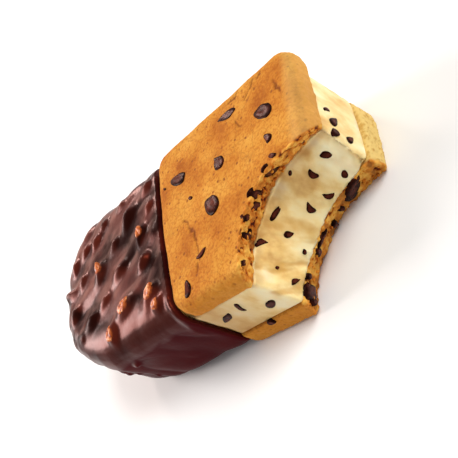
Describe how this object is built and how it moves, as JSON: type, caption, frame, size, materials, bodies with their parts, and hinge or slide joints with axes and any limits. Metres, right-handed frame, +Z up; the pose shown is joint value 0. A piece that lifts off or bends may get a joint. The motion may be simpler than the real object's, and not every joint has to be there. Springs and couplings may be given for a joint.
{
  "type": "ice cream sandwich",
  "caption": "Oblong ice cream sandwich: vanilla ice cream between chocolate chip cookies on the bitten half, and a dark chocolate coat with almond over the rest.",
  "frame": {"origin": "middle of the bar's bounding box, on the surface it lies on", "axes": "+X along the bar towards the cookie half with the bite, +Y across the bar away from the bite, +Z up"},
  "size_m": [0.1086, 0.053, 0.0275],
  "materials": {
    "baked_cookie": "matte, golden brown, with dark chocolate chips",
    "vanilla_ice_cream": "satin, pale cream, with dark chocolate chips",
    "dark_chocolate": "gloss, dark brown, lumpy with chopped almond"
  },
  "bodies": {
    "root": {"cookie_top": "baked_cookie", "cookie_bottom": "baked_cookie", "ice_cream": "vanilla_ice_cream", "chocolate_coat": "dark_chocolate"}
  },
  "joints": []
}
